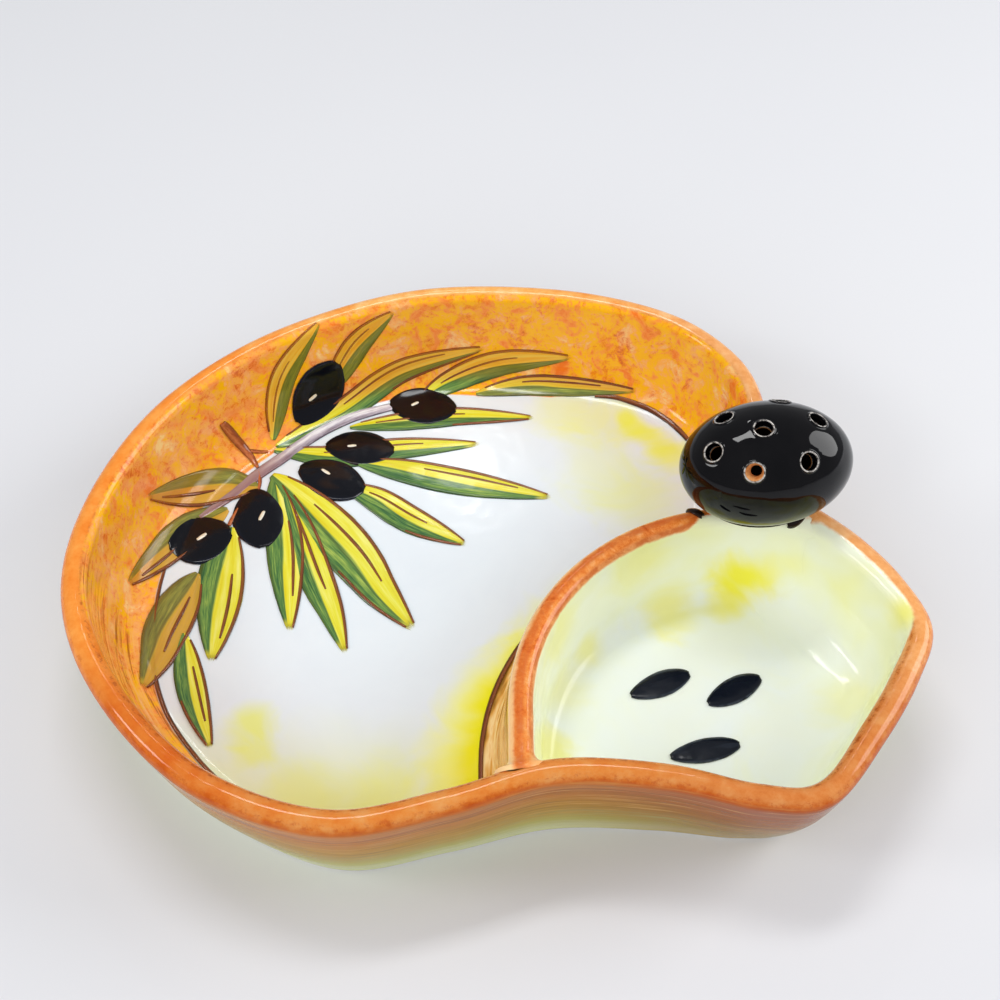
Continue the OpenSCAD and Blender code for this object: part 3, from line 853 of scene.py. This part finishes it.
# The painting. Its places are pixels of the picture, and the strokes are laid on the glaze from the camera.
film = {
    "run": 0.976, "start": 0.012, # the swell leaves a little width at the ends of a stroke
    "crown": 1.25,                # how far the edges go down under the middle, as a share of the lift
    "raggedScale": 45.0,
    "layerLift": 0.006,           # mm, each stroke over the one before
    "highEye": 1000.0,            # mm, so far up that the rays are nearly upright
}


def strokeTree():
    tree = bpy.data.node_groups.new("brush strokes", "GeometryNodeTree")
    for kind, names in (("Geometry", ["Lines"]), ("Object", ["Surface"]), ("Vector", ["Eye", "Ahead", "Up"]),
                        ("Float", ["Fullness", "Lead", "Lift", "Layer Lift", "Ragged", "Seed"]),
                        ("Int", ["Steps", "Sides"]), ("Material", ["Paint"])):
        for name in names:
            tree.interface.new_socket(name, in_out="INPUT", socket_type="NodeSocket" + kind)
    tree.interface.new_socket("Strokes", in_out="OUTPUT", socket_type="NodeSocketGeometry")
    source = tree.nodes.new("NodeGroupInput")
    given = {socket.name: Wire(tree, socket) for socket in source.outputs if socket.name}
    add = Wire(tree).add

    def fact(name):
        return add("GeometryNodeInputNamedAttribute", {"data_type": "FLOAT"}, {"Name": name})

    def keep(curve, name, value):
        return add("GeometryNodeStoreNamedAttribute", {"data_type": "FLOAT", "domain": "POINT"},
                   {"Geometry": curve, "Name": name, "Value": value})

    def resample(curve, count):
        return add("GeometryNodeResampleCurve", {"mode": "COUNT"}, {"Curve": curve, "Count": count})

    curve = add("GeometryNodeMeshToCurve", None, {"Mesh": given["Lines"]})
    curve = add("GeometryNodeCurveSplineType", {"spline_type": "CATMULL_ROM"}, {"Curve": curve})
    along = add("GeometryNodeSplineParameter")
    curve = keep(resample(curve, given["Steps"]), "along", along)
    lead = (along * film["run"] + film["start"]) ** given["Lead"]
    swell = (lead * math.pi).math("SINE") ** given["Fullness"]
    place = add("GeometryNodeInputPosition")
    uneven = add("ShaderNodeTexNoise", {"noise_dimensions": "4D"},
                 {"Vector": place, "W": given["Seed"], "Scale": film["raggedScale"], "Detail": 2.0})
    width = fact("halfWidth") * swell * (uneven.sway(given["Ragged"]) + 1)
    curve = add("GeometryNodeSetCurveNormal", {"mode": "Z_UP"}, {"Curve": curve})
    profile = add("GeometryNodeCurvePrimitiveLine", None, {"Start": (-1, 0, 0), "End": (1, 0, 0)})
    profile = keep(resample(profile, given["Sides"]), "across", add("GeometryNodeSplineParameter") * 2 - 1)
    strokes = add("GeometryNodeCurveToMesh", None, {"Curve": curve, "Profile Curve": profile, "Scale": width})
    spot = add("ShaderNodeSeparateXYZ", None, {"Vector": place})
    aside = add("ShaderNodeCombineXYZ", None, {"X": spot.other("X")})
    ray = given["Up"].vector("SCALE", spot.other("Y")).vector("ADD", aside).vector("ADD", given["Ahead"])
    surface = add("GeometryNodeObjectInfo", None, {"Object": given["Surface"]}).other("Geometry")
    hit = add("GeometryNodeRaycast", {"data_type": "FLOAT"}, {
        "Target Geometry": surface, "Source Position": given["Eye"], "Ray Direction": ray,
        "Ray Length": 20.0})
    crown = 1 - fact("across").math("ABSOLUTE") ** 3 * film["crown"]
    rise = given["Lift"] * crown + given["Layer Lift"] * fact("layer")
    lifted = hit.other("Hit Normal").vector("SCALE", rise).vector("ADD", hit.other("Hit Position"))
    strokes = add("GeometryNodeSetPosition", None,
                  {"Geometry": strokes, "Selection": hit.other("Is Hit"), "Position": lifted})
    missed = 1 - hit.other("Is Hit")
    strokes = add("GeometryNodeDeleteGeometry", {"domain": "POINT"}, {"Geometry": strokes, "Selection": missed})
    strokes = add("GeometryNodeFlipFaces", None, {"Mesh": strokes})
    strokes = add("GeometryNodeRealizeInstances", None, {"Geometry": strokes})
    strokes = add("GeometryNodeSetMaterial", None, {"Geometry": strokes, "Material": given["Paint"]})
    add("NodeGroupOutput", None, {"Strokes": strokes})
    return tree


brushTree = strokeTree()
brushInputs = {item.name: item.identifier for item in brushTree.interface.items_tree if item.in_out == "INPUT"}
rays = {
    False: (camera.location, Vector(ahead) * view["focalPixels"] / 1000, Vector(upward)),
    True: (Vector((0, 0, film["highEye"] * mm)), Vector((0, 0, -1)), Vector((0, 1, 0))),
}


def brush(name, strokes, material, facts=(), above=False, sides=5, steps=44, fullness=0.5, lead=1.0, lift=0.11,
          depth=0.16, ragged=0.15, seed=1.0):
    # strokes: (pixels, half width in pixels, facts to keep for the material). From above, mm stand for pixels.
    points, edges = [], []
    kept = {fact: [] for fact in ("halfWidth", "layer", *facts)}
    middle, unit = (0, film["highEye"]) if above else (view["pictureSize"] / 2, 1000)
    for order, (pixels, halfWidth, *numbers) in enumerate(strokes):
        edges += [(k, k + 1) for k in range(len(points), len(points) + len(pixels) - 1)]
        for x, y in pixels:
            points.append(((x - middle) / unit, (y if above else middle - y) / unit, 0))
            for fact, number in zip(kept, (halfWidth / unit, order, *numbers)):
                kept[fact].append(float(number))
    lines = addPiece(name + "_lines", points, [], edges, kept)
    nodes = lines.modifiers.new("brush strokes", "NODES")
    nodes.node_group = brushTree
    given = {"Surface": glazed, "Fullness": fullness, "Lead": lead, "Lift": lift * mm,
             "Layer Lift": film["layerLift"] * mm, "Ragged": ragged, "Seed": seed, "Steps": steps,
             "Sides": sides, "Paint": material, **dict(zip(("Eye", "Ahead", "Up"), rays[above]))}
    for key, value in given.items():
        nodes[brushInputs[key]] = value
    body = lines.modifiers.new("body of the paint", "SOLIDIFY")
    body.thickness = (lift + depth) * mm
    body.offset = -1
    done = bpy.data.meshes.new_from_object(lines.evaluated_get(bpy.context.evaluated_depsgraph_get()))
    mesh = lines.data
    bpy.data.objects.remove(lines)
    bpy.data.meshes.remove(mesh)
    done.name = name
    done.shade_smooth()
    piece = bpy.data.objects.new(name, done)
    scene.collection.objects.link(piece)
    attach(piece, "root")
    print(name, "painted:", len(done.polygons), "faces")


def strokeFinish(name, hairs, first=0.0):
    # a finish with the places along and across its stroke, and where the brush hairs run
    f = Finish(name)
    f.along, f.across, f.number = (f.attribute(fact) for fact in ("along", "across", "layer"))
    f.edge = f.across.math("ABSOLUTE")
    f.hairs = f.at(f.along * hairs[0], f.across * hairs[1], f.number * hairs[2] + first)
    return f


def leafPaint():
    f = strokeFinish("leaf_paint", (2.5, 3.5, 7.3))
    streak, fine = f.noise(1.0, 4, 0.6, place=f.hairs), f.noise(0.25, 3, 0.6, place=f.hairs)
    onWall, sheer = f.z.rises(7.2, 10.0), f.attribute("sheer")
    split = f.across - 0.08 - (f.along - 0.45) * 0.5     # above 0 on the green side
    yellowSide = split.rises(0.1, -0.1)
    yellow = streak.ramp(0.3, "dacb12", 0.5, "e5e13a", 0.72, "f0f080")
    greens = (fine * 0.35 + streak * 0.65).ramp(
        0.34, "285634", 0.45, "4e7a3e", 0.56, "789c48", 0.72, "b8cc5c")
    colour = yellow.coats(
        (greens, (split + streak.sway(0.3)).rises(-0.06, 0.06)),
        ("223e24", split.near(0.1, 0.09) * streak.rises(0.4, 0.6) * 0.6),
        ("2c4828", (f.across + fine.sway(0.2)).near(0.92, 0.2) * 0.6),
        ("d8ce32", f.along.rises(0.9, 0.96) * 0.85),
        # on the orange wall the paint is warmer, and the thin leaves let it through
        ("fcb23c", onWall * 0.75, "MULTIPLY"),
        (streak.ramp(0.35, "fcb028", 0.65, "ffd654"), onWall * split.rises(0.06, -0.06) * 0.85),
        ("969234", onWall * split.rises(-0.02, 0.1) * (fine * 0.5 + 0.2)),
        ("e6a042", sheer.rises(0.6, 0.95) * (0.1 + fine * 0.25 + yellowSide * 0.5)))
    bristle = (fine - 0.35) * 0.6
    solid = (1.02 - f.edge + bristle * 0.2).rises(0.0, 0.1) * (f.along + bristle * 0.12).rises(1.0, 0.95)
    thin = sheer.rises(0.8, 0.9)                  # the three leaves at the stem's foot are thin all over
    veil = onWall * 0.25 * (0.5 + fine * 0.6) * (split + 0.1).rises(0.3, -0.2)
    solid = solid * (1 - veil * (1 - thin)) * (1 - thin * (0.12 + fine * 0.24 + yellowSide * 0.1))
    return f.finish(colour, 0.13 + fine * 0.06, 9, alpha=solid)


def darkPaint(name, deep, warm, edgeTone):
    f = strokeFinish(name, (1.6, 1.1, 5.1), 2)
    fine = f.noise(1.2, 3, 0.6)
    plain = f.number.rises(3.4, 3.6).math("MAXIMUM", f.number.near(1, 0.5))   # stones without warm facets
    colour = f.noise(1.0, 1, 0.4, place=f.hairs).ramp(0.38, deep, 0.6, deep, 0.68, warm, 0.78, warm).coats(
        (deep, plain * 0.85),
        (edgeTone, f.edge.rises(0.74, 0.95) * f.noise(3, 3, 0.6).rises(0.3, 0.6) * 0.7))
    solid = (1.03 - f.edge + fine.sway(0.06)).rises(0.0, 0.05)
    return f.finish(colour, 0.1 + fine * 0.06, 8, alpha=solid, gloss=0.3)


def linePaint(name, dark, light, high, sheer=0.0, later=None, wallTone=None):
    f = strokeFinish(name, (7, 1.2, 3.7), 5)
    streak = f.noise(1.0, 4, 0.65, place=f.hairs)
    # the third colour is the lightest streak of the line; on the stem it is painted highlight
    colour = (streak * 0.55 + (f.across * 0.5 + 0.5) * 0.45).ramp(
        0.28, dark, 0.45, light, 0.56, high, 0.7, light)
    solid = (1.03 - f.edge + streak.sway(0.3)).rises(0.0, 0.25) * (1 - streak * sheer)
    if later:
        colour = colour.mix(later, f.along.rises(0.42, 0.72) * (0.7 + streak * 0.3))
    if wallTone:
        onWall = f.z.rises(9, 14)
        colour, solid = colour.mix(wallTone, onWall * 0.7), solid * (1 - onWall * 0.3)
    return f.finish(colour, 0.12 + streak * 0.05, 8, alpha=solid)


sprig = {
    # places along the middle from base to tip, half width, how sheer
    "leaves": (
        (((273, 440), (283, 378), (320, 321)), 12.5, 0.35),
        (((328, 394), (357, 345), (394, 311)), 13, 0.5),
        (((276, 447), (340, 414), (402, 371), (487, 347)), 13.5, 0.4),
        (((416, 404), (452, 381), (502, 363), (573, 357)), 13.5, 0.4),
        (((476, 394), (525, 386), (572, 387), (638, 391)), 10.5, 0.78),
        (((350, 428), (404, 422), (462, 417), (536, 418)), 9.5, 0.0),
        (((274, 451), (335, 457), (402, 449), (482, 444)), 11.5, 0.0),
        (((356, 463), (402, 471), (452, 481), (553, 498)), 13.5, 0.0),
        (((344, 487), (376, 500), (412, 521), (467, 545)), 14.5, 0.0),
        (((274, 478), (284, 540), (287, 586), (290, 633)), 19, 0.0),
        (((284, 488), (311, 566), (330, 610), (346, 655)), 18, 0.0),
        (((272, 476), (312, 514), (354, 557), (382, 594), (415, 631)), 26, 0.0),
        (((232, 528), (223, 566), (217, 612), (211, 663)), 24, 0.1),
        (((198, 574), (169, 624), (156, 658), (142, 690)), 23, 0.9),
        (((184, 634), (188, 672), (197, 710), (211, 749)), 15.5, 0.1),
        (((258, 487), (226, 485), (186, 491), (146, 497)), 18.5, 0.95),
        (((228, 510), (187, 532), (159, 556), (127, 585)), 18, 0.9)),
    "leafFullness": 0.8, "leafLead": 0.84,
    # for leaves half under an olive: where the line along the edge starts, how much later the vein comes
    "edgeStart": 0.06, "late": {15: (0.06, 0.25), 16: (0.47, 0.26)},
    "broad": 16,                  # half width from which a leaf has broader lines
    "stem": ([(402, 405), (355, 417), (318, 434), (280, 460), (254, 478), (230, 497), (200, 518)], 5.8),
    "twigs": (([(222, 423), (238, 442), (250, 456), (258, 468)], 5.2),
              ([(250, 451), (259, 452), (268, 452)], 1.3),
              ([(259, 472), (260, 482), (258, 493)], 1.4),
              ([(229, 526), (233, 518), (238, 509)], 1.6)),
    # middle, half length, half width, turn in degrees
    "olives": (((318, 393), 36, 22.5, 58), ((423, 407), 33, 18.5, -5), ((360, 449), 34, 17, -3),
               ((332, 480), 34, 20, -18), ((259, 519), 29, 27, -80), ((200, 540), 32, 25, 12)),
    "pits": (((660, 685), 31, 12.5, 20), ((734, 691), 29, 13, 26), ((705, 751), 35, 12, 10)),
    # the small light on each olive
    "lights": (((312, 397), 4.6, 1.5, 40), ((415, 405), 3.6, 1.3, 25), ((352, 447), 4.2, 0.9, 4),
               ((326, 473), 4.6, 1.1, -32), ((262, 517), 5.0, 1.9, 62), ((202, 538), 5.4, 1.8, 34)),
}
# Lines of dark glaze, in mm from above: run down beside the olive's foot, and along the foot of the walls
darkLines = {
    "skirt": (([(57.0, 3.5), (58.5, 2.3), (60.6, 0.4)], 0.95),
              ([(85.0, -1.6), (87.4, -0.9), (89.6, 0.9), (91.0, 2.7)], 1.15)),
    "floor": ((212, 276, 0.6), (92, 128, 0.85)),          # from one station to another, half width
    "footShare": 0.84, "footLevel": 7.5, "footClear": 0.5, "footHalfWidth": 0.75,
    "floorEvery": 4, "footEvery": 6,
}


def ovals(rows):
    strokes = []
    for (x, y), halfLength, halfWidth, turn in rows:
        a = math.radians(turn)
        dx, dy = math.cos(a) * halfLength, -math.sin(a) * halfLength
        strokes.append(([(x - dx, y - dy), (x, y), (x + dx, y + dy)], halfWidth))
    return strokes


def beside(places, halfWidth, first, last, offset, count=9):
    # pixels of a line drawn inside a leaf, part of the way along it and offset by a share of its width
    rows = np.array([places[0], *places, places[-1]], float)[:, None]
    spans = (rows[k:len(rows) - 3 + k] for k in range(4))
    middle = curveAt(*spans, np.linspace(0, 1, 12, endpoint=False)[None, :, None]).reshape(-1, 2)
    middle = np.concatenate((middle, rows[-1]))
    runs = np.concatenate(([0], np.cumsum(length(np.diff(middle, axis=0)))))
    slopes = unitRows(np.gradient(middle, axis=0))
    drawn = []
    for t in np.linspace(first, last, count):
        lead = (t * film["run"] + film["start"]) ** sprig["leafLead"]
        reach = halfWidth * math.sin(math.pi * lead) ** sprig["leafFullness"] * offset
        x, y, dx, dy = (np.interp(t, runs / runs[-1], column) for column in (*middle.T, *slopes.T))
        drawn.append((x + dy * reach, y - dx * reach))
    return drawn


def leafLines():
    # a line along one edge of each leaf, a vein, and on every third leaf a line along the other edge
    lines = []
    for number, (places, halfWidth, _) in enumerate(sprig["leaves"]):
        shift = 0.05 * ((number * 7) % 5 - 2)     # no two leaves are drawn quite alike
        start, late = sprig["late"].get(number, (sprig["edgeStart"], 0))
        edgeWidth, veinWidth = (1.25, 1.15) if halfWidth < sprig["broad"] else (1.6, 1.7)
        lines.append((beside(places, halfWidth, start, 0.97, 0.93), edgeWidth))
        first, last = 0.24 + shift + late, min(0.87, 0.72 + shift + late)
        lines.append((beside(places, halfWidth, first, last, 0.36 + shift), veinWidth))
        if number % 3 == 2:
            lines.append((beside(places, halfWidth, 0.55, 0.96, -0.86, 6), 1.1))
    return lines


brush("painted_leaves", sprig["leaves"], leafPaint(), ("sheer",), sides=13, steps=72,
      fullness=sprig["leafFullness"], lead=sprig["leafLead"], ragged=0.12)
brush("painted_veins", leafLines(),
      linePaint("vein_paint", "582c1a", "7c4222", "92542c", sheer=0.3, wallTone="b2581a"),
      fullness=0.45, lift=0.16, depth=0.12, ragged=0.5, seed=2.0)
# the stem is pale lilac paint with a white streak along its middle that is painted highlight, the lamp's
# reflection along the cove
brush("painted_stem", [sprig["stem"]],
      linePaint("stem_paint", "685a68", "c4becc", "fcfcfe", later="8c6260"),
      sides=7, steps=90, fullness=0.3, lift=0.2)
brush("painted_twigs", sprig["twigs"],
      linePaint("twig_paint", "78381c", "a0522a", "c47442"),
      steps=30, lead=0.5, lift=0.2)
brush("painted_olives", ovals(sprig["olives"]),
      darkPaint("painted_olive_black", "070912", "20140f", "141b2c"),
      sides=17, fullness=0.56, lead=1.02, lift=0.24, ragged=0.1, seed=4.0)
brush("painted_lights", ovals(sprig["lights"]),
      linePaint("dab_paint", "c4ac78", "e4d8ba", "f0eee2"),
      steps=12, lift=0.3, depth=0.2, ragged=0.8)
brush("painted_pits", ovals(sprig["pits"]),
      darkPaint("pit_black", "101520", "1c222e", "4a525e"),
      sides=13, steps=40, fullness=0.52, lead=1.1, lift=0.16, ragged=0.16, seed=9.0)
brush("painted_skirt", darkLines["skirt"],
      darkPaint("skirt_black", "1a0e08", "42200e", "542a12"),
      above=True, sides=9, steps=24, lift=0.36, depth=0.3, ragged=0.3, seed=6.0)
section = np.array(dishSection())


def floorPath(first, last):
    # plan places in mm on the tray where the wall's paint ends, from one station to another
    places = []
    for k in range(first, last, darkLines["floorEvery"]):
        inset, z = (np.interp(paintEdge[k], section[:, 2], section[:, i]) for i in (0, 1))
        places.append(tuple(ringAt(inset, z)[k, :2]))
    return places


def footPath():
    # the same along the divider's foot in the large bowl
    path, sides = dividerPath()
    path = path - sides * (divider["baseWidth"] / 2 + divider["coveRadius"] * darkLines["footShare"])
    free = clearance(path, darkLines["footLevel"]) > darkLines["footClear"]
    return path[free][::darkLines["footEvery"]].tolist()


lineTone = linePaint("line_paint", "4a240e", "743c1a", "965828", sheer=0.25)
brush("painted_divider_foot", [(footPath(), darkLines["footHalfWidth"])], lineTone, above=True, steps=130,
      fullness=0.25, lift=0.14)
brush("painted_floor_line", [(floorPath(first, last), width) for first, last, width in darkLines["floor"]],
      lineTone, above=True, steps=110, fullness=0.4, lift=0.14)
bpy.data.objects.remove(glazed)
print("painting done")

# The stage: a pale floor and plain soft light
studio = {
    "floorTones": ("e2e3e6", "dedfe3"), "floorReach": 6.0,
    "roomColour": (0.96, 0.97, 1.0, 1), "room": 0.34,
    # place, size in m, watts
    "lamps": {
        "overhead": ((-0.1, 0.3, 0.95), (0.5, 0.14), 2.7), "window": ((-0.035, 0.66, 0.71), (0.07, 0.05), 0.14),
        "front": ((-0.25, -1.1, 0.95), (2.2, 1.4), 12.2), "left": ((-0.85, -0.15, 0.6), (0.3, 0.2), 1.6),
        "right": ((0.85, 0.18, 0.46), (0.62, 0.6), 4.4),
    },
    "lampsLookAt": (0, 0, 0.02),
}


def makeStage():
    reach = studio["floorReach"]
    floor = addPiece("floor", [(-reach, -reach, 0), (reach, -reach, 0), (reach, reach, 0), (-reach, reach, 0)],
                     [(0, 1, 2, 3)])
    f = Finish("floor_paint")
    first, second = studio["floorTones"]
    floor.data.materials.append(f.finish(f.noise(400, 2, 0.5).ramp(0.3, first, 0.7, second), 0.7))
    world = bpy.data.worlds.new("soft room")
    world.use_nodes = True
    inputs = world.node_tree.nodes["Background"].inputs
    inputs[0].default_value, inputs[1].default_value = studio["roomColour"], studio["room"]
    scene.world = world
    for name, (place, size, power) in studio["lamps"].items():
        data = bpy.data.lights.new(name, "AREA")
        data.shape = "RECTANGLE" if name == "overhead" else "ELLIPSE"
        data.size, data.size_y = size
        data.energy = power
        lamp = bpy.data.objects.new(name, data)
        lamp.location = place
        lamp.visible_glossy = name != "front"     # the fill light is not mirrored in the glaze
        toDish = Vector(studio["lampsLookAt"]) - Vector(place)
        lamp.rotation_euler = toDish.to_track_quat("-Z", "Y").to_euler()
        scene.collection.objects.link(lamp)
    scene.view_settings.view_transform = "Standard"


makeStage()
print("stage lit")
